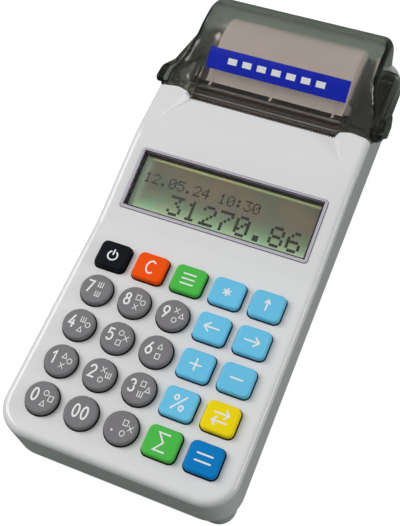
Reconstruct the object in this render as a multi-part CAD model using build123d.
from build123d import *

import math
import os

os.makedirs("parts", exist_ok=True)

# Hand-held ticket register: an upper case with a key deck and a display shelf, a
# lower tray, a 57 mm thermal printer at the rear, and a clear cover over the paper.
# Origin: the middle of the footprint, on the surface that the register rests on.
# X points to the right of the person at the keys, Y to the printer, Z up.

# ---------------------------------------------------------------- walls and clearances
case_wall = 2.4
seam = 0.4  # visible gap between the case and the cover
fit_gap = 0.3  # clearance between pieces that are assembled together
seat_gap = 0.1  # between a piece and the face that it is fixed to
reach_over = 1.0  # how far a cutter runs past what it cuts
reach_far = 20.0  # past everything near it

# ---------------------------------------------------------------- key grid
key_pitch_x = 15.2
key_pitch_y = 14.8
key_front_margin = 14.4  # from the front edge to the first row's centres
key_rear_margin = 13.9  # from the last row's centres to the foot of the shelf
key_side_margin = 6.2
round_key = 12.0
square_key_x = 12.0
square_key_y = 10.9
square_key_corner = 2.2
key_proud = 2.4
key_travel = 1.2
key_hole_gap = 0.45
key_top_round = 0.9
key_flange_rim = 0.9
key_flange_thick = 1.4
key_flange_play = 0.15
key_stem = 4.0  # radius of the foot that presses on the mat
key_stem_length = 3.25
key_over_mat = 0.2  # left between the pressed key and the mat
key_post = 1.6
key_post_gap = 0.4

# Rows from the front edge to the display. Each row runs from left to right.
key_rows = [
    ["key_0", "key_00", "key_point", "key_subtotal", "key_total"],
    ["key_1", "key_2", "key_3", "key_percent", "key_change"],
    ["key_4", "key_5", "key_6", "key_plus", "key_minus"],
    ["key_7", "key_8", "key_9", "key_left", "key_right"],
    ["key_power", "key_clear", "key_mode", "key_star", "key_feed"],
]
key_row_count = len(key_rows)
key_columns = len(key_rows[0])
round_key_columns = 3
round_key_rows = 4

# ---------------------------------------------------------------- batteries and their door
cell_count = 4
cell_radius = 7.1
cell_length = 50.0
cell_nub_radius = 2.7
cell_nub_length = 1.0
cell_bevel = 0.6
cell_clearance = 0.4
cell_front_margin = 14.1
contact_thick = 0.5
contact_gap = 1.4
contact_inset = 1.0
battery_wall = 1.6
battery_ceiling = 1.2
door_side_lap = 0.5
door_tongue = 1.2
door_thick = 2.0
door_tongue_thick = 0.9
door_gap = 0.25
door_front_gap = 0.2
door_rear_lap = 1.0
door_grip_ribs = 5
door_grip_pitch = 3.0
door_grip_start = 6.0
door_grip_half = 9.0
door_grip_deep = 0.6

# ---------------------------------------------------------------- tray, feet and screws
foot_stand = 1.5
foot_radius = 4.0
foot_sink = 1.0
foot_side_gap = 0.4
foot_edge = 5.0  # from a rubber foot to the edge of the tray's underside
foot_front_margin = 14.5
foot_rear_margin = 26.5
tray_top_inset = 1.2
tray_foot_inset = 2.2
tray_foot_corner = 6.4
tray_wall = 2.4
tray_lip = 3.0  # rises inside the upper case
tray_lip_wall = 1.68
tray_lip_root = 1.5
floor_thick = 2.4
rim_z = 12.0  # lower rim of the upper case
boss_radius = 3.2
boss_lift = 1.0
screw_core = 1.1
screw_clear = 1.5
screw_head = 2.7
screw_head_thick = 1.8
screw_head_lift = 3.7  # from the tray's underside to a screw head
screw_grip = 7.0
screw_tip_gap = 1.0
screw_edge = 10.7  # from the case's side to a screw
screw_front_step = 2.5
screw_cross_half = 1.3
screw_cross_thick = 0.6
screw_cross_deep = 1.0
tray_boss_radius = 4.6
tray_boss_gap = 0.4
screw_well = 3.1
seal_wall = 0.5
seal_height = 2.6
seal_sink = 0.3

# ---------------------------------------------------------------- boards
board_thick = 1.6
key_board_lift = 1.4
key_board_gap = 3.4
key_board_rear_edge = 7.7
key_board_corner = 3.0
mat_thick = 1.6
mat_pad = 0.8
mat_inset = 1.0
mat_corner = 2.0
main_board_lift = 1.4
main_board_gap = 4.8
main_board_corner = 1.0
main_post = 2.0
main_post_side = 7.0
main_post_end = 5.0
controller_side = 14.0
controller_height = 1.4
memory_length = 30.0
memory_depth = 18.0
memory_height = 7.0
driver_length = 12.0
driver_depth = 8.0
driver_height = 1.8
plug_length = 10.0
plug_depth = 4.0
plug_height = 3.6
coil_length = 5.0
coil_depth = 9.0
coil_height = 5.5
buzzer_radius = 5.6
buzzer_height = 6.0
part_gap = 3.4  # between neighbours on the main board

# ---------------------------------------------------------------- sockets in the left wall
jack_width = 9.0
jack_depth = 14.0
jack_height = 10.6
jack_pin = 1.0
jack_pin_inset = 1.0
jack_nose = 3.5  # radius of the round nose in the wall
jack_bore = 2.75
jack_bore_depth = 9.0
jack_hole_radius = 3.8
jack_from_board_end = 16.4
data_width = 13.4
data_depth = 16.0
data_height = 11.6
data_port_width = 10.0
data_port_height = 7.0
data_port_depth = 11.0
data_latch_half = 2.0
data_latch_drop = 1.2
data_from_board_end = 8.4
port_inset = 0.6

# ---------------------------------------------------------------- display
window_depth = 25.6
window_side_margin = 6.5
window_front_margin = 6.8
window_corner = 1.2
window_thick = 1.6
window_proud = 0.4
window_border = 1.2
window_border_step = 0.15
window_seat = 1.0  # ledge that the window sits on
lcd_drop = 3.4  # from the shelf's surface to the glass
lcd_side_margin = 1.4
lcd_end_margin = 1.4
lcd_thick = 1.8
lcd_frame_rim = 0.8
lcd_frame_lip = 0.4
lcd_board_side_gap = 3.6
lcd_board_end_lap = 0.9
lcd_board_thick = 1.6
lcd_post = 1.3
lcd_post_side = 1.9
lcd_post_end = 4.1

# ---------------------------------------------------------------- paper and its bay
paper_half = 28.75
paper_thick = 0.15
paper_gap = 0.3
roll_radius = 17.5
roll_play = 0.7  # between the roll and the hinge's barrel
core_radius = 6.2
core_wall = 1.4
core_gap = 0.1
bay_gap = 0.9  # between the roll and the cheeks
bay_wall = 1.6
bay_floor_gap = 0.3
bay_rim_lift = 9.0
bay_rim_thick = 1.6
bay_rim_lap = 1.0
bay_side_gap = 0.6
bay_corner = 6.0
bay_hinge_gap = 1.2
bay_rear_drop = 2.4
cheek_rise = 9.6
cheek_front_inset = 4.0
cheek_rear_inset = 6.0

# ---------------------------------------------------------------- printer
platen_radius = 4.3
platen_over_paper = 0.25
platen_shaft_radius = 1.5
platen_rear_room = 8.4  # from the platen's axis to the frame's rear edge
platen_front_room = 9.0
bush_radius = 3.0
bush_flange = 3.6
bush_flange_thick = 0.6
side_plate_gap = 1.45  # from the paper's edge to a side plate
side_plate_thick = 2.0
frame_bay_gap = 0.2
frame_lift = 1.1
frame_bar = 1.4
frame_foot_round = 1.0
frame_rear_round = 3.0
frame_top_round = 2.0
frame_rear_drop = 4.0
frame_rear_slant = 3.0
guard_thick = 1.0
guard_over_platen = 0.4
guard_paper_gap = 0.8
head_thick = 2.6
head_front_run = 7.0
head_rear_run = 6.8
head_side_margin = 0.35
head_ceramic = 0.7
ceramic_front_run = 3.2
ceramic_rear_run = 3.8
head_pivot_run = 5.4
head_pivot_radius = 1.0
head_spring_radius = 2.4
head_spring_wire = 0.5
head_spring_turns = 4
head_spring_run = 3.4
head_spring_gap = 0.7
head_shelf_drop = 14.3
head_shelf_thick = 1.2
head_shelf_front_x = -12.0
web_corner_drop = 4.0
web_corner_round = 1.6
web_end_drop = 3.0  # from the tear edge to the torn end of the paper
motor_radius = 7.5
motor_length = 14.0
motor_floor_gap = 0.2
motor_end_wall = 1.0
motor_shaft_radius = 0.75
gear_module = 0.5
gear_width = 3.0
platen_teeth = 24
idler_teeth = 20
pinion_teeth = 12
platen_to_idler = -67.02  # degrees in the YZ plane
idler_to_pinion = -120.8
tooth_top = 0.8  # shares of the module
tooth_foot = 1.1
tooth_foot_share = 0.33  # shares of the tooth pitch
tooth_tip_share = 0.13
gear_side_gap = 0.5
gear_wall_room = 5.5
gear_bore_play = 0.05
idler_stud_radius = 1.0
shaft_left_over = 0.6
shaft_right_over = 1.5

# ---------------------------------------------------------------- tear bar and trough
tear_over_platen = 9.8
tear_plate_thick = 0.5
tear_lip = 0.9  # thickness left in the deck over the tear bar
tear_plate_land = 3.0
tear_tooth_pitch = 1.216
tear_tooth_depth = 1.2
tear_root = 0.1
tear_paper_gap = 0.075
trough_side_gap = 1.65
trough_side_angle = 35.0  # lean of the trough's sides, from upright
trough_flare = 4.8  # the trough is wider at its start by this on either side
trough_side_edge = 1.6  # the deck's skin reaches past the trough's sides
trough_depth = 2.2
trough_run = 12.0
tear_shelf_run = 28.0  # from the window to the tear bar
shelf_end_run = 6.1  # from the window to the end of the slope
shelf_start_blend = 18.0
shelf_end_blend = 60.0
body_corner = 12.0
top_edge_round = 2.8

# ---------------------------------------------------------------- cover hinge
hinge_barrel = 2.0  # radius
hinge_pin = 1.0  # radius
hinge_pin_play = 0.05
hinge_cover_knuckle = 6.0
hinge_case_knuckle = 4.0
hinge_side_gap = 0.3
hinge_end_inset = 8.2
hinge_centre_inset = 10.0
hinge_notch_inset = 0.6
hinge_notch_gap = 0.8
hinge_notch_run = 10.0
hinge_web_sink = 1.5
hinge_rear_gap = 0.7

# ---------------------------------------------------------------- cover
cover_wall = 2.2
cover_over_rim = 0.6
cover_overhang = 6.0
cover_under = 5.0
lip_drop = 0.4  # the cover's low front lip, below the tear edge
lip_gap = 2.4
roll_head_room = 3.7
roof_front_fall = 1.4
roof_rear_fall = 0.8
roof_round = 40.0
ramp_top_round = 10.0
ramp_foot_round = 5.0
lip_foot_round = 3.0
ramp_run = 12.6
ramp_angle = 36.0
bulge_rear_round = 16.0
bulge_crown_run = 0.4
bulge_draw = 5.6
bulge_edge_round = 4.4
arm_run = 12.6
flare_run = 26.0
flare_blend = 20.0
ledge_front_run = 16.6
ledge_front_drop = 2.4
ledge_front_round = 12.0
ledge_rear_margin = 10.5
ledge_rear_rise = 3.0
ledge_rear_round = 8.0
flange_out = 1.6
flange_rear_margin = 7.5
flange_corner = 7.0
flange_solid_tail = 6.0
grip_out = 3.2
grip_front_run = 4.8
grip_back_run = 7.3
grip_over_shoulder = 0.2
grip_round = 1.2
grip_nose_drop = 2.6
grip_nose_round = 1.0
grip_nose_run = 0.6
grip_lip_round = 1.4
grip_foot_run = 1.5
grip_tail_run = 12.0
grip_tail_drop = 5.0
grip_back_round = 6.0
grip_back_drop = 0.6
grip_groove_inset = 1.1
grip_groove_width = 1.6
grip_groove_depth = 5.0
grip_groove_tail = 8.0
rib_count = 3
rib_pitch = 26.0
rib_thick = 1.0
rib_drop = 0.4
rib_start_run = 9.6
rib_end_run = 17.6

# ---------------------------------------------------------------- seam between case and cover
shoulder_crown_run = 3.0  # furthest point of a shoulder's curved rear edge
shoulder_crown_inset = 8.2
shoulder_outer_run = 1.8
shoulder_inner_drop = 1.6
shoulder_inner_round = 1.2
shoulder_round = 6.0
shoulder_step_drop = 2.0  # below this depth the side wall's seam starts to slope
seam_top_run = 3.6
seam_foot_run = 16.1

# ---------------------------------------------------------------- width
bay_half_x = cell_length / 2 + cell_nub_length / 2 + contact_gap
door_half = bay_half_x + door_side_lap
foot_x = door_half + door_tongue + foot_side_gap + foot_radius
width_for_cells = foot_x + foot_radius + foot_edge + tray_foot_inset
width_for_keys = key_columns * key_pitch_x / 2 + key_side_margin
platen_half = paper_half + platen_over_paper
head_half = paper_half - head_side_margin
side_plate_x = paper_half + side_plate_gap
gear_end_x = side_plate_x + side_plate_thick + gear_side_gap + gear_width + shaft_left_over
width_for_printer = gear_end_x + gear_wall_room + case_wall
half_width = max(width_for_cells, width_for_keys, width_for_printer)
body_width = 2 * half_width
window_width = body_width - 2 * window_side_margin
lcd_width = window_width - 2 * lcd_side_margin
lcd_depth = window_depth - 2 * lcd_end_margin
lcd_board_width = body_width - 2 * lcd_board_side_gap
lcd_board_depth = window_depth + 2 * lcd_board_end_lap
lcd_post_x = lcd_board_width / 2 - lcd_post_side
lcd_post_y = window_depth / 2 - lcd_post_end
key_board_half = half_width - case_wall - key_board_gap
main_board_half = half_width - case_wall - main_board_gap
main_post_x = main_board_half - main_post_side
screw_x = half_width - screw_edge
bay_flange_half = half_width - case_wall - bay_side_gap
trough_half = paper_half + trough_side_gap
trough_start_half = trough_half + trough_flare
trough_skin_half = trough_start_half + trough_side_edge
bulge_half = half_width - bulge_draw
flange_half = half_width + flange_out
grip_half = half_width + grip_out
grip_groove_x = half_width - grip_groove_inset
shoulder_crown_x = half_width - shoulder_crown_inset
hinge_half = bulge_half - hinge_end_inset
hinge_centre_x = hinge_half - hinge_centre_inset
hinge_notch_half = bulge_half - hinge_notch_inset

# ---------------------------------------------------------------- length
web_inner = platen_radius + paper_gap
tear_to_platen = web_inner + 1.5 * paper_thick + tear_paper_gap + tear_tooth_depth + tear_root
tail_run = (
    tear_to_platen
    + platen_rear_room
    + frame_bay_gap
    + bay_wall
    + bay_floor_gap
    + 2 * roll_radius
    + roll_play
    + 2 * hinge_barrel
    + hinge_rear_gap
)
keys_run = key_front_margin + (key_row_count - 1) * key_pitch_y + key_rear_margin
display_run = window_front_margin + window_depth
body_length = keys_run + display_run + tear_shelf_run + tail_run
front_y = -body_length / 2
rear_y = body_length / 2
key_first_row_y = front_y + key_front_margin
key_last_row_y = key_first_row_y + (key_row_count - 1) * key_pitch_y
shelf_start_y = front_y + keys_run
window_y = shelf_start_y + window_front_margin + window_depth / 2
window_rear_y = shelf_start_y + display_run
shelf_end_y = window_rear_y + shelf_end_run
tear_edge_y = window_rear_y + tear_shelf_run
trough_start_y = tear_edge_y - trough_run
platen_y = tear_edge_y + tear_to_platen
frame_front_y = platen_y - platen_front_room
frame_rear_y = platen_y + platen_rear_room
head_front_y = platen_y - head_front_run
head_rear_y = platen_y + head_rear_run
head_ceramic_front_y = platen_y - ceramic_front_run
head_ceramic_rear_y = platen_y + ceramic_rear_run
pivot_y = platen_y - head_pivot_run
head_spring_y = platen_y + head_spring_run
bulge_rear_y = rear_y - hinge_rear_gap
hinge_y = bulge_rear_y - hinge_barrel
roll_y = hinge_y - hinge_barrel - roll_play - roll_radius
bulge_crown_y = roll_y + bulge_crown_run
bay_front_y = roll_y - roll_radius - bay_floor_gap - bay_wall + bay_rim_lap
bay_rear_y = hinge_y - hinge_barrel - bay_hinge_gap
lip_front_y = tear_edge_y + lip_gap
ramp_foot_y = tear_edge_y + ramp_run
arm_end_y = tear_edge_y + arm_run
flare_end_y = tear_edge_y + flare_run
ledge_front_y = tear_edge_y + ledge_front_run
ledge_rear_y = rear_y - ledge_rear_margin
flange_rear_y = rear_y - flange_rear_margin
grip_front_y = tear_edge_y + grip_front_run
grip_rear_y = grip_front_y + grip_back_run
rib_start_y = tear_edge_y + rib_start_run
rib_end_y = tear_edge_y + rib_end_run
shoulder_crown_y = tear_edge_y + shoulder_crown_run
shoulder_outer_y = tear_edge_y + shoulder_outer_run
seam_top_y = tear_edge_y + seam_top_run
seam_foot_y = tear_edge_y + seam_foot_run
screw_front_y = shelf_start_y - screw_front_step
screw_rear_y = frame_front_y - tray_boss_gap - tray_boss_radius
main_board_front_y = screw_front_y + tray_boss_radius + tray_boss_gap
main_board_rear_y = screw_rear_y - tray_boss_radius - tray_boss_gap
jack_y = main_board_front_y + jack_from_board_end
data_y = main_board_rear_y - data_from_board_end
key_board_front_y = front_y + key_board_gap
key_board_rear_y = key_last_row_y + key_board_rear_edge
foot_front_y = front_y + foot_front_margin
foot_rear_y = rear_y - foot_rear_margin
cell_front_y = front_y + cell_front_margin

# ---------------------------------------------------------------- heights
floor_z = foot_stand + floor_thick
cell_z = foot_stand + door_thick + fit_gap + cell_radius
cells_top_z = cell_z + cell_radius
key_board_z = cells_top_z + cell_clearance + battery_ceiling + key_board_lift
mat_top_z = key_board_z + board_thick + mat_thick + mat_pad
key_foot_z = mat_top_z + key_travel + key_over_mat
key_flange_top_z = key_foot_z + key_stem_length + key_flange_thick
deck_z = key_flange_top_z + key_flange_play + case_wall
key_top_z = deck_z + key_proud
main_board_z = rim_z + main_board_lift
board_top_z = main_board_z + board_thick
screw_head_z = foot_stand + screw_head_lift
boss_foot_z = rim_z + boss_lift
mesh_platen_idler = gear_module * (platen_teeth + idler_teeth) / 2
mesh_idler_pinion = gear_module * (idler_teeth + pinion_teeth) / 2
to_idler = math.radians(platen_to_idler)
to_pinion = math.radians(idler_to_pinion)
motor_z = floor_z + motor_floor_gap + motor_radius
idler_z = motor_z - mesh_idler_pinion * math.sin(to_pinion)
platen_z = idler_z - mesh_platen_idler * math.sin(to_idler)
idler_y = platen_y + mesh_platen_idler * math.cos(to_idler)
motor_y = idler_y + mesh_idler_pinion * math.cos(to_pinion)
frame_foot_z = floor_z + frame_lift
head_shelf_z = platen_z - head_shelf_drop
tear_edge_z = platen_z + tear_over_platen
lip_z = tear_edge_z - lip_drop
web_corner_z = lip_z - web_corner_drop
web_end_z = tear_edge_z - web_end_drop
shoulder_z = tear_edge_z + trough_depth
shoulder_step_z = tear_edge_z - shoulder_step_drop
shelf_rise = shoulder_z - deck_z
shelf_slope = math.atan2(shelf_rise, shelf_end_y - shelf_start_y)
roll_z = floor_z + seat_gap + bay_wall + bay_floor_gap + roll_radius
bulge_z = roll_z + roll_radius + cover_wall + roll_head_room
bay_rim_z = rim_z + bay_rim_lift
cheek_top_z = roll_z + cheek_rise
cover_seam_z = bay_rim_z + cover_over_rim
hinge_z = cover_seam_z
hinge_notch_z = hinge_z - hinge_barrel - hinge_notch_gap
bay_rear_top_z = hinge_notch_z - bay_rear_drop
ledge_front_z = tear_edge_z - ledge_front_drop
ledge_rear_z = cover_seam_z + ledge_rear_rise
grip_top_z = shoulder_z + grip_over_shoulder

part_nodes = {}


# ================================================================ helpers
def outline(points):
    """A flat face in XY from corners (u, v, radius)."""
    corners = [(u, v) for u, v, _ in points]
    radii = [r for _, _, r in points]
    return make_face(FilletPolyline(*corners, radius=radii, close=True))


def prism_x(points, x_from, x_to):
    """Corners (y, z, radius) drawn in YZ and pulled along X."""
    face = Plane.YZ.offset(x_from) * outline(points)
    return extrude(face, amount=x_to - x_from, dir=(1, 0, 0))


def prism_z(points, z_from, z_to):
    """Corners (x, y, radius) drawn in XY and pulled along Z."""
    face = Plane.XY.offset(z_from) * outline(points)
    return extrude(face, amount=z_to - z_from, dir=(0, 0, 1))


def block(x_from, x_to, y_from, y_to, z_from, z_to):
    size_x = x_to - x_from
    size_y = y_to - y_from
    size_z = z_to - z_from
    centre = ((x_from + x_to) / 2, (y_from + y_to) / 2, (z_from + z_to) / 2)
    return Pos(*centre) * Box(size_x, size_y, size_z)


def rod_x(x_from, x_to, y, z, radius):
    """A round bar along X."""
    bar = Cylinder(radius, x_to - x_from, align=(Align.CENTER, Align.CENTER, Align.MIN))
    return Pos(x_from, y, z) * Rot(0, 90, 0) * bar


def rod_z(x, y, z_from, z_to, radius):
    """A round bar along Z."""
    bar = Cylinder(radius, z_to - z_from, align=(Align.CENTER, Align.CENTER, Align.MIN))
    return Pos(x, y, z_from) * bar


def rounded_plan(inset, z_from, z_to):
    """The case's footprint, drawn in by an inset and pulled along Z."""
    corner = body_corner - inset
    face = RectangleRounded(body_width - 2 * inset, body_length - 2 * inset, corner)
    return Pos(0, 0, z_from) * extrude(face, amount=z_to - z_from)


def both_sides(solid):
    return solid + mirror(solid, Plane.YZ)


def shelf_height(y):
    """Height of the sloping shelf at y."""
    return deck_z + (y - shelf_start_y) * math.tan(shelf_slope)


def shelf_frame(y, below=0.0):
    """Local frame on the sloping shelf, its Z square to the slope."""
    tilt = math.degrees(shelf_slope)
    return Pos(0, y, shelf_height(y)) * Rot(tilt, 0, 0) * Pos(0, 0, -below)


def keep(name, *solids):
    """Writes one node. Its solids stay separate."""
    shape = solids[0] if len(solids) == 1 else Compound(children=list(solids))
    part_nodes[name] = shape
    export_step(shape, "parts/" + name + ".step")


# ================================================================ case surfaces
high_z = shoulder_z + reach_far


def top_profile(drop, rear):
    """The case's top line from front to rear, in YZ, lowered by drop."""
    return [
        (front_y - reach_over, rim_z - tray_lip, 0),
        (rear, rim_z - tray_lip, 0),
        (rear, shoulder_z - drop, 0),
        (shelf_end_y, shoulder_z - drop, shelf_end_blend),
        (shelf_start_y, deck_z - drop, shelf_start_blend),
        (front_y - reach_over, deck_z - drop, 0),
    ]


def case_form(inset, drop, z_from):
    body = rounded_plan(inset, z_from, high_z)
    return body & prism_x(top_profile(drop, rear_y + reach_over), -half_width, half_width)


def trough_cut():
    """Lowers the deck between the shoulders towards the tear bar."""
    far_y = rear_y + reach_far
    far_z = shoulder_z - trough_depth / trough_run * (far_y - trough_start_y)
    low = prism_x(
        [
            (trough_start_y, shoulder_z, 0),
            (far_y, far_z, 0),
            (far_y, high_z, 0),
            (trough_start_y, high_z, 0),
        ],
        -half_width,
        half_width,
    )
    right = [
        (trough_start_half, trough_start_y, 0),
        (trough_half, tear_edge_y, 0),
        (trough_half, far_y, 0),
    ]
    left = [(-x, y, r) for x, y, r in reversed(right)]
    plan = Plane.XY.offset(tear_edge_z) * outline(right + left)
    channel = extrude(plan, amount=trough_depth + reach_over, taper=-trough_side_angle)
    floor_strip = low & block(-trough_half, trough_half, tear_edge_y, far_y, 0, tear_edge_z)
    return (low & channel) + floor_strip


def seam_plan(grow, z_from, z_to):
    """Everything behind the shoulders' curved rear edges, seen in plan."""
    inner_x = trough_half
    crown = shoulder_crown_y + grow
    inner_y = tear_edge_y + grow
    outer_y = shoulder_outer_y + grow
    wide = half_width + reach_far
    slope = (outer_y - crown) / (half_width - shoulder_crown_x)
    wide_y = outer_y + slope * (wide - half_width)
    far_y = rear_y + reach_far
    right = [
        (inner_x - grow, inner_y, 0),
        (inner_x - grow, crown - shoulder_inner_drop, shoulder_inner_round),
        (shoulder_crown_x, crown, shoulder_round),
        (wide, wide_y, 0),
        (wide, far_y, 0),
    ]
    left = [(-x, y, r) for x, y, r in reversed(right)]
    return prism_z(right + left, z_from, z_to)


def side_seam(grow):
    """Everything above the side walls' sloping seam and the level seam."""
    far_y = rear_y + reach_far
    return prism_x(
        [
            (seam_top_y + grow, shoulder_step_z + grow, 0),
            (seam_foot_y + grow, cover_seam_z + grow, 0),
            (far_y, cover_seam_z + grow, 0),
            (far_y, high_z, 0),
            (seam_top_y + grow, high_z, 0),
        ],
        -half_width - reach_far,
        half_width + reach_far,
    )


def cover_space(grow):
    """The space that belongs to the cover, shrunk by grow at its seams."""
    return side_seam(grow) + seam_plan(grow, shoulder_step_z + grow, high_z)


# ================================================================ keys
key_centres = {}
for row, names in enumerate(key_rows):
    for column, name in enumerate(names):
        offset = column - (key_columns - 1) / 2
        key_centres[name] = (offset * key_pitch_x, key_first_row_y + row * key_pitch_y)


def is_round(name):
    for row in key_rows[:round_key_rows]:
        if name in row[:round_key_columns]:
            return True
    return False


def key_outline(name, grow):
    if is_round(name):
        return Circle(round_key / 2 + grow)
    corner = square_key_corner + grow
    return RectangleRounded(square_key_x + 2 * grow, square_key_y + 2 * grow, corner)


def make_key(name):
    x, y = key_centres[name]
    cap = extrude(key_outline(name, 0), amount=key_top_z - key_flange_top_z)
    cap = fillet(cap.faces().sort_by(Axis.Z)[-1].edges(), key_top_round)
    flange = extrude(key_outline(name, key_flange_rim), amount=-key_flange_thick)
    stem = Pos(0, 0, key_foot_z - key_flange_top_z)
    stem = stem * extrude(Circle(key_stem), amount=key_flange_top_z - key_foot_z)
    return Pos(x, y, key_flange_top_z) * (cap + flange + stem)


for name in key_centres:
    keep(name, make_key(name))


# ================================================================ upper case
def key_holes():
    cuts = []
    for name, (x, y) in key_centres.items():
        hole = extrude(key_outline(name, key_hole_gap), amount=case_wall + 2 * reach_over)
        cuts.append(Pos(x, y, deck_z - case_wall - reach_over) * hole)
    return cuts


window_frame = shelf_frame(window_y)


def window_seat_cuts():
    """The recess that holds the window, and the opening under it."""
    recess = RectangleRounded(
        window_width + 2 * fit_gap, window_depth + 2 * fit_gap, window_corner + fit_gap
    )
    opening = Rectangle(window_width - 2 * window_seat, window_depth - 2 * window_seat)
    recess_depth = window_thick - window_proud
    upper = window_frame * Pos(0, 0, -recess_depth) * extrude(recess, amount=reach_far)
    lower_depth = case_wall + reach_over
    lower = window_frame * Pos(0, 0, -lower_depth) * extrude(opening, amount=2 * lower_depth)
    return [upper, lower]


screw_places = [
    (screw_x, screw_front_y),
    (-screw_x, screw_front_y),
    (screw_x, screw_rear_y),
    (-screw_x, screw_rear_y),
]
key_post_places = []
for side in (-1, 1):
    post_x = side * (key_columns / 2 - 1) * key_pitch_x
    for row_y in (key_first_row_y, key_last_row_y - key_pitch_y):
        key_post_places.append((post_x, row_y + key_pitch_y / 2))
port_centre_z = board_top_z + jack_height / 2
data_centre_z = board_top_z + data_height / 2
mouth_x = -half_width + port_inset


def port_cuts():
    wall_x = -half_width - reach_over
    inside_x = -half_width + case_wall + reach_over
    round_port = rod_x(wall_x, inside_x, jack_y, port_centre_z, jack_hole_radius)
    half_port = data_width / 2 + fit_gap
    half_tall = data_height / 2 + fit_gap
    square_port = block(
        wall_x,
        inside_x,
        data_y - half_port,
        data_y + half_port,
        data_centre_z - half_tall,
        data_centre_z + half_tall,
    )
    return [round_port, square_port]


def hinge_knuckles(x_from, x_to, sink_z):
    """A case knuckle, with a web down its front half and a foot on the rear wall."""
    barrel = rod_x(x_from, x_to, hinge_y, hinge_z, hinge_barrel)
    front = hinge_y - hinge_barrel
    web = block(x_from, x_to, front, hinge_y, sink_z, hinge_z)
    foot = block(x_from, x_to, front, rear_y - case_wall / 2, sink_z, hinge_notch_z)
    return barrel + web + foot


def make_upper_case():
    outer = case_form(0, 0, rim_z)
    rim_edges = []
    for edge in outer.edges():
        middle = edge.center()
        runs_along_rim = abs(middle.X) > reach_over or abs(middle.Y) > rear_y - reach_over
        if middle.Z > deck_z - reach_over and runs_along_rim:
            rim_edges.append(edge)
    outer = fillet(rim_edges, top_edge_round)
    inner = case_form(case_wall, case_wall, rim_z - reach_over)
    shell = outer - inner
    shell = shell - cover_space(0)
    shell = shell - trough_cut()
    skin = prism_x(
        [
            (trough_start_y, shoulder_z, 0),
            (tear_edge_y, tear_edge_z, 0),
            (tear_edge_y, tear_edge_z - case_wall, 0),
            (trough_start_y, shoulder_z - case_wall, 0),
        ],
        -trough_skin_half,
        trough_skin_half,
    )
    shell = shell + (skin - cover_space(0))
    half_wall = case_wall / 2
    boss_room = case_form(half_wall, half_wall, rim_z) - Pos(0, 0, -half_wall) * trough_cut()
    for x, y in screw_places:
        shell = shell + (rod_z(x, y, boss_foot_z, high_z, boss_radius) & boss_room)
    for x, y in key_post_places:
        foot_z = key_board_z + board_thick + seat_gap
        shell = shell + rod_z(x, y, foot_z, deck_z - case_wall / 2, key_post)
    for side_x in (-lcd_post_x, lcd_post_x):
        for side_y in (-lcd_post_y, lcd_post_y):
            foot = -lcd_drop - lcd_thick
            post = rod_z(side_x, side_y, foot, -case_wall / 2, lcd_post)
            shell = shell + window_frame * post
    rebate = block(
        -trough_half - seat_gap,
        trough_half + seat_gap,
        tear_edge_y - tear_plate_land - seat_gap,
        tear_edge_y + reach_over,
        tear_edge_z - 2 * case_wall,
        tear_edge_z - tear_lip,
    )
    shell = shell - rebate
    shell = shell - block(
        -hinge_notch_half,
        hinge_notch_half,
        rear_y - hinge_notch_run,
        rear_y + reach_over,
        hinge_notch_z,
        high_z,
    )
    inner_edge = hinge_cover_knuckle / 2 + hinge_side_gap
    for centre in (-hinge_centre_x, hinge_centre_x):
        for side in (-1, 1):
            x_a = centre + side * inner_edge
            x_b = x_a + side * hinge_case_knuckle
            shell = shell + hinge_knuckles(min(x_a, x_b), max(x_a, x_b), hinge_notch_z - hinge_web_sink)
        pin_half = inner_edge + hinge_case_knuckle
        shell = shell - rod_x(centre - pin_half, centre + pin_half, hinge_y, hinge_z, hinge_pin)
    for cut in key_holes() + window_seat_cuts() + port_cuts():
        shell = shell - cut
    for x, y in screw_places:
        shell = shell - rod_z(x, y, boss_foot_z - reach_over, boss_foot_z + screw_grip, screw_core)
    return shell


# ================================================================ tear bar
def make_tear_bar():
    """A thin steel strip under the end of the trough, with a row of teeth."""
    count = int(2 * trough_half / tear_tooth_pitch)
    root_y = tear_edge_y + tear_root
    start_x = -count * tear_tooth_pitch / 2
    corners = [(start_x, tear_edge_y - tear_plate_land)]
    corners.append((start_x, root_y))
    for tooth in range(count):
        left_x = start_x + tooth * tear_tooth_pitch
        corners.append((left_x + tear_tooth_pitch / 2, root_y + tear_tooth_depth))
        corners.append((left_x + tear_tooth_pitch, root_y))
    corners.append((-start_x, tear_edge_y - tear_plate_land))
    face = make_face(Polyline(*corners, close=True))
    top_z = tear_edge_z - tear_lip
    lift = top_z - tear_plate_thick
    return Pos(0, 0, lift) * extrude(face, amount=tear_plate_thick)


# ================================================================ cover
ramp_rise = math.tan(math.radians(ramp_angle))
ramp_top_y = ramp_foot_y + (bulge_z - roof_front_fall - lip_z) / ramp_rise
cover_from_y = shoulder_outer_y - cover_overhang
cover_cut_z = cover_seam_z - cover_under


def cover_plan(inset, z_from, z_to):
    """Arms as wide as the case, drawn in to the narrower bulge."""
    arm = half_width - inset
    bulge = bulge_half - inset
    rear = bulge_rear_y - inset
    right = [
        (arm, cover_from_y, 0),
        (arm, arm_end_y, flare_blend),
        (bulge, flare_end_y, flare_blend),
        (bulge, rear, 0),
    ]
    left = [(-x, y, r) for x, y, r in reversed(right)]
    return prism_z(right + left, z_from, z_to)


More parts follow.
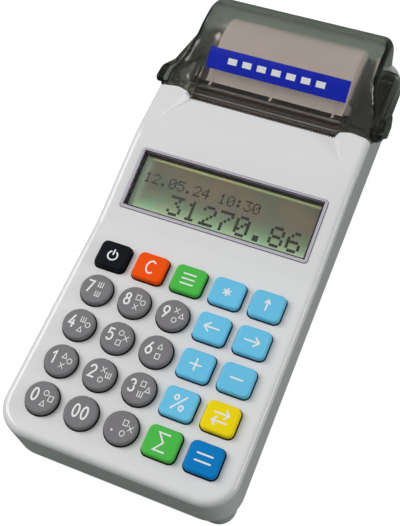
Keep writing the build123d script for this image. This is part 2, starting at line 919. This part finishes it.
def cover_top(inset, front_z):
    """The cover's top line from the front to the rear wall, in YZ."""
    rear = bulge_rear_y - inset
    shift = inset * (1 / math.cos(math.radians(ramp_angle)) - 1) / ramp_rise
    foot_y = ramp_foot_y + (front_z - lip_z) / ramp_rise + shift
    crown_start = ramp_top_y + shift
    return [
        (cover_from_y, cover_cut_z, 0),
        (rear, cover_cut_z, 0),
        (rear, bulge_z - roof_rear_fall - inset, bulge_rear_round - inset),
        (bulge_crown_y, bulge_z - inset, roof_round),
        (crown_start, bulge_z - roof_front_fall - inset, ramp_top_round),
        (foot_y, front_z - inset, ramp_foot_round),
        (cover_from_y, front_z - inset, 0),
    ]


def cover_ledge(inset):
    """The lower tier with its sloping top: the flange that carries the grips."""
    wide = flange_half - inset
    rear = flange_rear_y - inset
    corner = flange_corner - inset
    right = [
        (wide, cover_from_y, 0),
        (wide, rear, corner),
    ]
    left = [(-x, y, r) for x, y, r in reversed(right)]
    plan = prism_z(right + left, cover_cut_z, high_z)
    front = grip_front_y + grip_round
    tail = flange_rear_y + reach_over
    line = prism_x(
        [
            (front, cover_cut_z, 0),
            (tail, cover_cut_z, 0),
            (tail, ledge_rear_z - inset, 0),
            (ledge_rear_y, ledge_rear_z - inset, ledge_rear_round),
            (ledge_front_y, ledge_front_z - inset, ledge_front_round),
            (front, grip_top_z - inset, 0),
        ],
        -grip_half,
        grip_half,
    )
    return plan & line


def grip_lugs():
    """The two finger grips: the flange's front ends, standing further out."""
    tail = grip_rear_y + grip_tail_run
    lug = prism_x(
        [
            (grip_front_y, grip_top_z - grip_nose_drop, grip_nose_round),
            (seam_foot_y + grip_foot_run, cover_seam_z + seam, grip_nose_round),
            (tail, cover_seam_z + seam, grip_nose_round),
            (tail, ledge_front_z - grip_tail_drop, grip_back_round),
            (grip_rear_y, grip_top_z - grip_back_drop, grip_back_round),
            (grip_front_y + grip_nose_run, grip_top_z, grip_lip_round),
        ],
        bulge_half,
        grip_half,
    )
    outer_face = lug.faces().sort_by(Axis.X)[-1]
    return both_sides(fillet(outer_face.edges(), grip_round))


def cover_top_edges(solid):
    """The long edges along both sides of the roof, down to the rear corners."""
    chosen = []
    for edge in solid.edges():
        middle = edge.center()
        on_side = abs(middle.X) > trough_half and middle.Y > shoulder_outer_y
        high_or_rear = middle.Z > shoulder_z - reach_over or middle.Y > bulge_crown_y
        if on_side and high_or_rear and middle.Z > cover_seam_z:
            chosen.append(edge)
    return chosen


def lip_space(drop, half):
    """The space over the low lip between the arms."""
    steep = math.cos(math.radians(ramp_angle))
    shift = drop * (1 / steep - 1) / ramp_rise
    reach = (high_z - lip_z) / ramp_rise
    return prism_x(
        [
            (cover_from_y, lip_z - drop, 0),
            (ramp_foot_y + shift, lip_z - drop, lip_foot_round),
            (ramp_foot_y + shift + reach, high_z - drop, 0),
            (cover_from_y, high_z - drop, 0),
        ],
        -half,
        half,
    )


def cover_hollow():
    upper = cover_plan(cover_wall, cover_cut_z - reach_over, high_z)
    upper = upper & prism_x(cover_top(cover_wall, shoulder_z), -half_width, half_width)
    upper = upper - lip_space(cover_wall, trough_half + cover_wall)
    side = grip_groove_x - grip_groove_width / 2 - cover_wall / 2
    tail = flange_rear_y - flange_solid_tail
    lower = cover_ledge(cover_wall) & block(-side, side, front_y, tail, 0, high_z)
    return upper + lower


def grip_groove():
    """A narrow slot between each grip and the flange, open to the top."""
    tail = ledge_rear_y - grip_groove_tail
    line = prism_x(
        [
            (grip_front_y - reach_over, grip_top_z - grip_groove_depth, 0),
            (ledge_front_y, ledge_front_z - grip_groove_depth, ledge_front_round),
            (tail, ledge_rear_z + ledge_rear_rise, 0),
            (tail, high_z, 0),
            (grip_front_y - reach_over, high_z, 0),
        ],
        grip_groove_x - grip_groove_width / 2,
        grip_groove_x + grip_groove_width / 2,
    )
    return both_sides(line)


def cover_ribs():
    """Thin guide ribs under the lip that keep the paper flat."""
    ribs = []
    far = lip_space(cover_wall + rib_drop, trough_half)
    for index in range(rib_count):
        x = (index - (rib_count - 1) / 2) * rib_pitch
        slice_x = block(x - rib_thick / 2, x + rib_thick / 2, rib_start_y, rib_end_y, 0, high_z)
        ribs.append(slice_x & far & cover_body_limit())
    return ribs


def cover_body_limit():
    """Everything under the middle of the cover's lip and ramp."""
    space = block(-trough_half, trough_half, front_y, rear_y, 0, high_z)
    return space - lip_space(cover_wall / 2, trough_half)


def cover_barrel():
    barrel = rod_x(-hinge_half, hinge_half, hinge_y, hinge_z, hinge_barrel)
    web = block(
        -hinge_half,
        hinge_half,
        bulge_rear_y - cover_wall,
        bulge_rear_y,
        hinge_z,
        cover_seam_z + hinge_barrel,
    )
    barrel = barrel + web
    inner = hinge_cover_knuckle / 2
    outer = inner + 2 * hinge_side_gap + hinge_case_knuckle
    for centre in (-hinge_centre_x, hinge_centre_x):
        for side in (-1, 1):
            x_a = centre + side * inner
            x_b = centre + side * outer
            gap = block(
                min(x_a, x_b),
                max(x_a, x_b),
                hinge_y - 2 * hinge_barrel,
                hinge_y + 2 * hinge_barrel,
                0,
                hinge_z + hinge_barrel + hinge_side_gap,
            )
            barrel = barrel - gap
        hole = rod_x(
            centre - outer,
            centre + outer,
            hinge_y,
            hinge_z,
            hinge_pin + hinge_pin_play,
        )
        barrel = barrel - hole
    return barrel


def make_cover():
    outer = cover_plan(0, cover_seam_z - reach_over, high_z)
    outer = outer & prism_x(cover_top(0, shoulder_z), -half_width, half_width)
    outer = fillet(cover_top_edges(outer), bulge_edge_round)
    outer = outer + cover_ledge(0) + grip_lugs()
    outer = outer - lip_space(0, trough_half)
    shell = outer - cover_hollow() - grip_groove()
    shell = shell & cover_space(seam)
    front_lip = block(-trough_half, trough_half, front_y, lip_front_y, 0, high_z)
    shell = shell - front_lip
    for centre in (-hinge_centre_x, hinge_centre_x):
        reach = hinge_cover_knuckle / 2 + 2 * hinge_side_gap + hinge_case_knuckle
        relief = rod_x(
            centre - reach, centre + reach, hinge_y, hinge_z, hinge_barrel + hinge_side_gap
        )
        shell = shell - relief
    shell = shell + cover_barrel()
    for rib in cover_ribs():
        shell = shell + rib
    return shell


keep("upper_case", make_upper_case())
keep("tear_bar", make_tear_bar())
keep("paper_cover", make_cover())


def make_hinge_pins():
    reach = hinge_cover_knuckle / 2 + hinge_side_gap + hinge_case_knuckle
    pins = []
    for centre in (-hinge_centre_x, hinge_centre_x):
        pins.append(rod_x(centre - reach, centre + reach, hinge_y, hinge_z, hinge_pin))
    return pins


keep("cover_hinge_pins", *make_hinge_pins())


# ================================================================ display
def make_window():
    """The clear window: a thin plate with a raised border."""
    plate = RectangleRounded(window_width, window_depth, window_corner)
    middle = RectangleRounded(
        window_width - 2 * window_border, window_depth - 2 * window_border, window_corner
    )
    body = Pos(0, 0, window_proud - window_thick) * extrude(plate, amount=window_thick)
    sunk = Pos(0, 0, window_proud - window_border_step) * extrude(middle, amount=window_thick)
    return window_frame * (body - sunk)


def lcd_layer(width, depth, top, thick):
    return Pos(0, 0, -top - thick) * extrude(Rectangle(width, depth), amount=thick)


def make_lcd_frame():
    """A folded metal frame that holds the glass on its board."""
    outer_width = lcd_width + 2 * lcd_frame_rim
    outer_depth = lcd_depth + 2 * lcd_frame_rim
    outer = lcd_layer(outer_width, outer_depth, lcd_drop - lcd_frame_lip, lcd_thick + lcd_frame_lip)
    pocket = lcd_layer(lcd_width + seat_gap, lcd_depth + seat_gap, lcd_drop, lcd_thick)
    opening = lcd_layer(
        lcd_width - lcd_frame_rim, lcd_depth - lcd_frame_rim, lcd_drop - lcd_frame_lip, lcd_thick
    )
    return window_frame * (outer - pocket - opening)


keep("display_window", make_window())
keep("lcd_glass", window_frame * lcd_layer(lcd_width, lcd_depth, lcd_drop, lcd_thick))
keep("lcd_frame", make_lcd_frame())
lcd_board_top = lcd_drop + lcd_thick
keep(
    "lcd_board",
    window_frame * lcd_layer(lcd_board_width, lcd_board_depth, lcd_board_top, lcd_board_thick),
)


# ================================================================ key board and mat
def board_plate(half_x, y_from, y_to, z, thick, corner):
    face = Pos(0, (y_from + y_to) / 2) * RectangleRounded(2 * half_x, y_to - y_from, corner)
    return Pos(0, 0, z) * extrude(face, amount=thick)


def make_key_mat():
    """The rubber mat: each dome is drawn as a low pad, as it is when pressed."""
    mat = board_plate(
        key_board_half - mat_inset,
        key_board_front_y + mat_inset,
        key_board_rear_y - mat_inset,
        key_board_z + board_thick,
        mat_thick,
        mat_corner,
    )
    for x, y in key_centres.values():
        mat = mat + rod_z(x, y, mat_top_z - mat_pad, mat_top_z, key_stem)
    for x, y in key_post_places:
        mat = mat - rod_z(x, y, 0, high_z, key_post + key_post_gap)
    return mat


keep("key_mat", make_key_mat())
keep(
    "key_board",
    board_plate(
        key_board_half,
        key_board_front_y,
        key_board_rear_y,
        key_board_z,
        board_thick,
        key_board_corner,
    ),
)


# ================================================================ lower case
cell_pitch = 2 * cell_radius + cell_clearance
cells_rear_y = cell_front_y + cell_count * cell_pitch
door_front_y = front_y + tray_foot_inset + door_front_gap
door_rear_y = cells_rear_y + door_rear_lap
tongue_z = foot_stand + (door_thick - door_tongue_thick) / 2


def tray_form(extra, z_from, z_to):
    """The tray: drawn in towards its foot."""
    foot = RectangleRounded(
        body_width - 2 * (tray_foot_inset + extra),
        body_length - 2 * (tray_foot_inset + extra),
        tray_foot_corner - extra,
    )
    top = RectangleRounded(
        body_width - 2 * (tray_top_inset + extra),
        body_length - 2 * (tray_top_inset + extra),
        body_corner - tray_top_inset - extra,
    )
    return loft([Pos(0, 0, z_from) * foot, Pos(0, 0, z_to) * top])


foot_places = [
    (x, y) for x in (-foot_x, foot_x) for y in (foot_front_y, foot_rear_y)
]
main_post_places = [
    (x, y)
    for x in (-main_post_x, main_post_x)
    for y in (main_board_front_y + main_post_end, main_board_rear_y - main_post_end)
]


def make_lower_case():
    top_z = rim_z - seat_gap
    outer = tray_form(0, foot_stand, top_z)
    case = outer - tray_form(tray_wall, floor_z, top_z)
    lip_outer = case_wall + fit_gap
    lip_foot_z = top_z - tray_lip_root
    lip = rounded_plan(lip_outer, lip_foot_z, rim_z + tray_lip)
    lip = lip - rounded_plan(lip_outer + tray_lip_wall, lip_foot_z - reach_over, high_z)
    case = case + lip
    box_x = bay_half_x + battery_wall
    box = block(
        -box_x,
        box_x,
        cell_front_y - cell_clearance - battery_wall,
        cells_rear_y + battery_wall,
        foot_stand,
        cells_top_z + cell_clearance + battery_ceiling,
    )
    room = block(
        -bay_half_x,
        bay_half_x,
        cell_front_y - cell_clearance,
        cells_rear_y,
        0,
        cells_top_z + cell_clearance,
    )
    case = case + box - room
    for x, y in screw_places:
        post = rod_z(x, y, foot_stand, boss_foot_z - seat_gap, tray_boss_radius)
        case = case + (post & (outer + rounded_plan(lip_outer, lip_foot_z, high_z)))
    for x, y in main_post_places:
        case = case + rod_z(x, y, floor_z - reach_over, main_board_z - seat_gap, main_post)
    for x, y in screw_places:
        case = case - rod_z(x, y, 0, screw_head_z + screw_head_thick, screw_well)
        case = case - rod_z(x, y, 0, high_z, screw_clear)
    for x, y in foot_places:
        well = rod_z(x, y, 0, foot_stand + foot_sink, foot_radius + seat_gap)
        case = case - well
    slot_top = foot_stand + door_thick + door_gap
    door_slot = block(
        -door_half - door_gap,
        door_half + door_gap,
        front_y,
        door_rear_y + door_gap,
        0,
        slot_top,
    )
    groove = block(
        -door_half - door_tongue - door_gap,
        door_half + door_tongue + door_gap,
        front_y,
        door_rear_y + door_gap,
        tongue_z - door_gap / 2,
        tongue_z + door_tongue_thick + door_gap / 2,
    )
    return case - door_slot - groove


def make_battery_door():
    plate = block(
        -door_half, door_half, door_front_y, door_rear_y, foot_stand, foot_stand + door_thick
    )
    tongue = block(
        -door_half - door_tongue,
        door_half + door_tongue,
        door_front_y,
        door_rear_y,
        tongue_z,
        tongue_z + door_tongue_thick,
    )
    door = plate + tongue
    for rib in range(door_grip_ribs):
        y = door_front_y + door_grip_start + rib * door_grip_pitch
        rear = y + door_grip_pitch / 2
        deep_z = foot_stand + door_grip_deep
        door = door - block(-door_grip_half, door_grip_half, y, rear, 0, deep_z)
    return door


keep("lower_case", make_lower_case())
keep("battery_door", make_battery_door())
keep(
    "rubber_feet",
    *[rod_z(x, y, 0, foot_stand + foot_sink - seat_gap / 2, foot_radius) for x, y in foot_places],
)


def make_screw(x, y):
    """A self-tapping screw: pan head with a cross recess, plain shank."""
    head = rod_z(x, y, screw_head_z, screw_head_z + screw_head_thick, screw_head)
    top = screw_head_z + screw_head_thick
    shank = rod_z(x, y, top, boss_foot_z + screw_grip - screw_tip_gap, screw_core)
    cross = Box(2 * screw_cross_half, screw_cross_thick, 2 * screw_cross_deep)
    cross = cross + Rot(0, 0, 90) * cross
    return head + shank - Pos(x, y, screw_head_z) * cross


keep("case_screws", *[make_screw(x, y) for x, y in screw_places])


def make_seal_cup():
    """A small cup for the inspector's wax, pressed in over one screw."""
    x, y = screw_places[0]
    foot_z = foot_stand + seal_sink
    top_z = foot_z + seal_height
    outer = rod_z(x, y, foot_z, top_z, screw_well - seat_gap / 2)
    inner = rod_z(x, y, foot_stand, top_z - seal_wall, screw_well - seal_wall)
    return outer - inner


keep("seal_cup", make_seal_cup())


# ================================================================ batteries
def cell_places():
    places = []
    for index in range(cell_count):
        y = cell_front_y + cell_radius + index * cell_pitch
        places.append((y, 1 if index % 2 == 0 else -1))
    return places


def make_cell(y, direction):
    half = cell_length / 2
    middle = -direction * cell_nub_length / 2
    can = rod_x(middle - half, middle + half, y, cell_z, cell_radius)
    can = chamfer(can.edges().filter_by(GeomType.CIRCLE), cell_bevel)
    tip = middle + direction * half
    nub_end = tip + direction * cell_nub_length
    return can + rod_x(min(tip, nub_end), max(tip, nub_end), y, cell_z, cell_nub_radius)


keep("battery_cells", *[make_cell(y, direction) for y, direction in cell_places()])


def make_contacts():
    """Flat plates on both walls, each with a sprung bump towards its cell."""
    contacts = []
    reach = cell_length / 2 + cell_nub_length / 2
    for side in (-1, 1):
        wall = side * bay_half_x
        face = wall - side * contact_thick
        for y, _ in cell_places():
            half = cell_radius - contact_inset
            plate = block(
                min(wall, face), max(wall, face), y - half, y + half, cell_z - half, cell_z + half
            )
            tip = side * (reach + seat_gap)
            bump = rod_x(min(face, tip), max(face, tip), y, cell_z, cell_nub_radius)
            contacts.append(plate + bump)
    return contacts


keep("battery_contacts", *make_contacts())


# ================================================================ main board and its parts
keep(
    "main_board",
    board_plate(
        main_board_half,
        main_board_front_y,
        main_board_rear_y,
        main_board_z,
        board_thick,
        main_board_corner,
    ),
)


def on_board(left_x, front, width, depth, height):
    """A plain package on the main board, placed by its front left corner."""
    top_z = board_top_z + height
    return block(left_x, left_x + width, front, front + depth, board_top_z, top_z)


front_row_y = main_board_front_y + part_gap
rear_row_y = main_board_rear_y - part_gap - memory_depth
right_x = main_board_half - part_gap
keep(
    "board_parts",
    on_board(
        -controller_side / 2 - part_gap,
        front_row_y + part_gap,
        controller_side,
        controller_side,
        controller_height,
    ),
    on_board(right_x - memory_length, rear_row_y, memory_length, memory_depth, memory_height),
    on_board(
        right_x - memory_length - part_gap - driver_length,
        rear_row_y + part_gap,
        driver_length,
        driver_depth,
        driver_height,
    ),
    on_board(controller_side / 2, front_row_y, plug_length, plug_depth, plug_height),
    on_board(right_x - coil_length, front_row_y, coil_length, coil_depth, coil_height),
    rod_z(
        right_x - coil_length - part_gap - buzzer_radius,
        rear_row_y - part_gap - buzzer_radius,
        board_top_z,
        board_top_z + buzzer_height,
        buzzer_radius,
    ),
)


def make_power_jack():
    inside_x = -half_width + case_wall + seat_gap
    body = block(
        inside_x,
        inside_x + jack_depth,
        jack_y - jack_width / 2,
        jack_y + jack_width / 2,
        board_top_z,
        board_top_z + jack_height,
    )
    bore_end_x = mouth_x + jack_bore_depth
    pin_from_x = mouth_x + jack_pin_inset
    nose = rod_x(mouth_x, inside_x + reach_over, jack_y, port_centre_z, jack_nose)
    bore = rod_x(mouth_x - reach_over, bore_end_x, jack_y, port_centre_z, jack_bore)
    pin = rod_x(pin_from_x, bore_end_x + reach_over, jack_y, port_centre_z, jack_pin)
    return body + nose - bore + pin


def make_data_socket():
    body = block(
        mouth_x,
        mouth_x + data_depth,
        data_y - data_width / 2,
        data_y + data_width / 2,
        board_top_z,
        board_top_z + data_height,
    )
    port = block(
        mouth_x - reach_over,
        mouth_x + data_port_depth,
        data_y - data_port_width / 2,
        data_y + data_port_width / 2,
        data_centre_z - data_port_height / 2,
        data_centre_z + data_port_height / 2,
    )
    notch = block(
        mouth_x - reach_over,
        mouth_x + data_port_depth,
        data_y - data_latch_half,
        data_y + data_latch_half,
        data_centre_z - data_port_height / 2 - data_latch_drop,
        data_centre_z,
    )
    return body - port - notch


keep("power_jack", make_power_jack())
keep("data_socket", make_data_socket())


# ================================================================ paper
web_entry_y = platen_y + web_inner + paper_thick
web_exit_y = platen_y - web_inner - paper_thick


def make_paper_roll():
    roll = rod_x(-paper_half, paper_half, roll_y, roll_z, roll_radius)
    hole_half = paper_half + reach_over
    return roll - rod_x(-hole_half, hole_half, roll_y, roll_z, core_radius + core_gap)


def make_paper_core():
    core = rod_x(-paper_half, paper_half, roll_y, roll_z, core_radius)
    hole_half = paper_half + reach_over
    return core - rod_x(-hole_half, hole_half, roll_y, roll_z, core_radius - core_wall)


def tangent_on_roll(radius):
    """Where a straight web from the slot's corner meets the top of the roll."""
    dy = roll_y - web_entry_y
    dz = roll_z - web_corner_z
    distance = math.hypot(dy, dz)
    climb = math.atan2(dz, dy) + math.asin(radius / distance)
    length = math.sqrt(distance**2 - radius**2)
    return web_entry_y + length * math.cos(climb), web_corner_z + length * math.sin(climb)


def make_paper_strip():
    """One web: off the roll's top, down the slot, round the platen, up to the tear bar."""
    start = tangent_on_roll(roll_radius + paper_gap)
    middle = web_inner + paper_thick
    rounded = FilletPolyline(
        start, (web_entry_y, web_corner_z), (web_entry_y, platen_z), radius=[web_corner_round]
    )
    wrap = ThreePointArc(
        (web_entry_y, platen_z), (platen_y, platen_z - middle), (web_exit_y, platen_z)
    )
    rise = Line((web_exit_y, platen_z), (web_exit_y, web_end_z))
    path = Wire(rounded.edges() + wrap.edges() + rise.edges())
    section = trace(path, line_width=paper_thick)
    return Plane.YZ.offset(-paper_half) * extrude(section, amount=2 * paper_half)


keep("paper_roll", make_paper_roll())
keep("paper_core", make_paper_core())
keep("paper_strip", make_paper_strip())


# ================================================================ printer
def gear_outline(teeth, bore):
    """A plain spur gear with straight-sided teeth, one tooth along +Y."""
    pitch_radius = gear_module * teeth / 2
    tip_radius = pitch_radius + tooth_top * gear_module
    root_radius = pitch_radius - tooth_foot * gear_module
    step = 2 * math.pi / teeth
    corners = []
    for tooth in range(teeth):
        centre = tooth * step
        for radius, share in (
            (root_radius, -tooth_foot_share),
            (tip_radius, -tooth_tip_share),
            (tip_radius, tooth_tip_share),
            (root_radius, tooth_foot_share),
        ):
            angle = centre + share * step
            corners.append((radius * math.cos(angle), radius * math.sin(angle)))
    return make_face(Polyline(*corners, close=True)) - Circle(bore)


gear_from_x = -side_plate_x - side_plate_thick - gear_side_gap - gear_width
gear_to_x = gear_from_x + gear_width


def make_gear(teeth, bore, y, z, phase):
    turned = Rot(0, 0, math.degrees(phase)) * gear_outline(teeth, bore)
    face = Plane.YZ.offset(gear_from_x) * turned
    return Pos(0, y, z) * extrude(face, amount=gear_width, dir=(1, 0, 0))


idler_phase = to_idler + math.pi + math.pi / idler_teeth
idler_step = 2 * math.pi / idler_teeth
tooth_lead = (idler_phase - to_pinion) % idler_step
pinion_phase = to_pinion + math.pi - tooth_lead * idler_teeth / pinion_teeth
pinion_phase = pinion_phase + math.pi / pinion_teeth

shaft_left_x = gear_from_x - shaft_left_over
shaft_right_x = side_plate_x + side_plate_thick + shaft_right_over


def make_platen_roller():
    rubber = rod_x(-platen_half, platen_half, platen_y, platen_z, platen_radius)
    hole_half = platen_half + reach_over
    return rubber - rod_x(-hole_half, hole_half, platen_y, platen_z, platen_shaft_radius)


def make_bushes():
    bushes = []
    for side in (-1, 1):
        inner_x = side * (side_plate_x - bush_flange_thick)
        plate_x = side * side_plate_x
        outer_x = side * (side_plate_x + side_plate_thick)
        sleeve = rod_x(min(plate_x, outer_x), max(plate_x, outer_x), platen_y, platen_z, bush_radius)
        flange = rod_x(min(inner_x, plate_x), max(inner_x, plate_x), platen_y, platen_z, bush_flange)
        bore = platen_shaft_radius + gear_bore_play
        hole = rod_x(min(inner_x, outer_x), max(inner_x, outer_x), platen_y, platen_z, bore)
        bushes.append(sleeve + flange - hole)
    return bushes


keep("platen_roller", make_platen_roller())
keep("platen_shaft", rod_x(shaft_left_x, shaft_right_x, platen_y, platen_z, platen_shaft_radius))
keep("platen_bushes", *make_bushes())
keep("platen_gear", make_gear(platen_teeth, platen_shaft_radius, platen_y, platen_z, to_idler))
idler_bore = idler_stud_radius + gear_bore_play
keep("idler_gear", make_gear(idler_teeth, idler_bore, idler_y, idler_z, idler_phase))

motor_from_x = -side_plate_x + seat_gap


def make_pinion():
    """The pinion with the motor's shaft that carries it."""
    teeth = make_gear(pinion_teeth, motor_shaft_radius / 2, motor_y, motor_z, pinion_phase)
    shaft_end_x = motor_from_x + motor_length - motor_end_wall
    return teeth + rod_x(shaft_left_x, shaft_end_x, motor_y, motor_z, motor_shaft_radius)


keep("motor_pinion", make_pinion())


def make_motor():
    can = rod_x(motor_from_x, motor_from_x + motor_length, motor_y, motor_z, motor_radius)
    bore = motor_shaft_radius + gear_bore_play
    bore_end_x = motor_from_x + motor_length - motor_end_wall + fit_gap
    return can - rod_x(motor_from_x - reach_over, bore_end_x, motor_y, motor_z, bore)


keep("feed_motor", make_motor())

head_top_z = platen_z - web_inner - 1.5 * paper_thick - seat_gap
head_plate_top_z = head_top_z - head_ceramic
head_foot_z = head_plate_top_z - head_thick
pivot_z = head_foot_z + head_thick / 2


def make_print_head():
    plate = block(
        -head_half, head_half, head_front_y, head_rear_y, head_foot_z, head_plate_top_z
    )
    ceramic = block(
        -head_half,
        head_half,
        head_ceramic_front_y,
        head_ceramic_rear_y,
        head_plate_top_z,
        head_top_z,
    )
    hole = head_pivot_radius + gear_bore_play
    hole_half = head_half + reach_over
    return plate + ceramic - rod_x(-hole_half, hole_half, pivot_y, pivot_z, hole)


keep("print_head", make_print_head())
pivot_half = side_plate_x + side_plate_thick
head_pivot = rod_x(-pivot_half, pivot_half, pivot_y, pivot_z, head_pivot_radius)


def make_head_spring():
    """A short compression spring on the frame's shelf, under the head."""
    foot = head_shelf_z + head_shelf_thick + seat_gap + head_spring_wire / 2
    height = head_foot_z - head_spring_gap - head_spring_wire / 2 - foot
    pitch = height / head_spring_turns
    coil = Helix(pitch=pitch, height=height, radius=head_spring_radius - head_spring_wire / 2)
    start = coil @ 0
    profile = Plane(origin=start, z_dir=coil % 0) * Circle(head_spring_wire / 2)
    return Pos(0, head_spring_y, foot) * sweep(profile, path=coil, is_frenet=True)


keep("head_spring", make_head_spring())
guard_foot_z = platen_z + platen_radius + guard_over_platen
guard_top_z = guard_foot_z + guard_thick


def make_printer_frame():
    """Two side plates joined by a guard over the platen, a front bar and a shelf."""
    frame = None
    for side in (-1, 1):
        inner_x = side * side_plate_x
        outer_x = side * (side_plate_x + side_plate_thick)
        plate = prism_x(
            [
                (frame_front_y, frame_foot_z, frame_foot_round),
                (frame_rear_y, frame_foot_z, frame_foot_round),
                (frame_rear_y, platen_z - frame_rear_drop, frame_rear_round),
                (frame_rear_y - frame_rear_slant, guard_top_z, frame_top_round),
                (frame_front_y, guard_top_z, frame_top_round),
            ],
            min(inner_x, outer_x),
            max(inner_x, outer_x),
        )
        frame = plate if frame is None else frame + plate
    guard = block(
        -side_plate_x,
        side_plate_x,
        web_exit_y + paper_thick + guard_paper_gap,
        web_entry_y - paper_thick - guard_paper_gap,
        guard_foot_z,
        guard_top_z,
    )
    front_bar = block(
        -side_plate_x,
        side_plate_x,
        frame_front_y,
        frame_front_y + frame_bar,
        frame_foot_z,
        head_foot_z,
    )
    shelf = block(
        head_shelf_front_x,
        side_plate_x,
        frame_front_y,
        frame_rear_y,
        head_shelf_z,
        head_shelf_z + head_shelf_thick,
    )
    leg = block(
        head_shelf_front_x,
        side_plate_x,
        frame_rear_y - frame_bar,
        frame_rear_y,
        floor_z + seat_gap,
        head_shelf_z,
    )
    frame = frame + guard + front_bar + shelf + leg
    for side in (-1, 1):
        x_a = side * (side_plate_x - reach_over)
        x_b = side * (pivot_half + reach_over)
        span = (min(x_a, x_b), max(x_a, x_b))
        frame = frame - rod_x(*span, platen_y, platen_z, bush_radius)
        frame = frame - rod_x(*span, pivot_y, pivot_z, head_pivot_radius)
    shaft_hole = 2 * motor_shaft_radius
    hole_from_x = -pivot_half - reach_over
    frame = frame - rod_x(hole_from_x, -side_plate_x + reach_over, motor_y, motor_z, shaft_hole)
    stud = rod_x(shaft_left_x, -side_plate_x - reach_over, idler_y, idler_z, idler_stud_radius)
    return frame + stud


keep("printer_frame", make_printer_frame(), head_pivot)


def make_paper_bay():
    """A tub for the roll: a round floor, two cheeks, and a rim over the case's tail."""
    inner = roll_radius + bay_floor_gap
    outer = inner + bay_wall
    cheek_inner = paper_half + bay_gap
    cheek_outer = cheek_inner + bay_wall
    shell = rod_x(-cheek_outer, cheek_outer, roll_y, roll_z, outer)
    shell = shell & block(-cheek_outer, cheek_outer, front_y, rear_y, 0, bay_rim_z)
    cheeks = block(
        -cheek_outer,
        cheek_outer,
        roll_y - inner + cheek_front_inset,
        roll_y + inner - cheek_rear_inset,
        bay_rim_z - bay_rim_thick,
        cheek_top_z,
    )
    rim_foot_z = bay_rim_z - bay_rim_thick
    rim = board_plate(
        bay_flange_half, bay_front_y, bay_rear_y, rim_foot_z, bay_rim_thick, bay_corner
    )
    hinge_room = block(-half_width, half_width, bay_rear_y, rear_y, bay_rear_top_z, high_z)
    tub = shell + cheeks + rim - hinge_room
    room = rod_x(-cheek_inner, cheek_inner, roll_y, roll_z, inner)
    above_z = bay_rim_z - bay_rim_thick
    above = block(-cheek_inner, cheek_inner, roll_y - inner, roll_y + inner, above_z, high_z)
    return tub - room - above


keep("paper_bay", make_paper_bay())
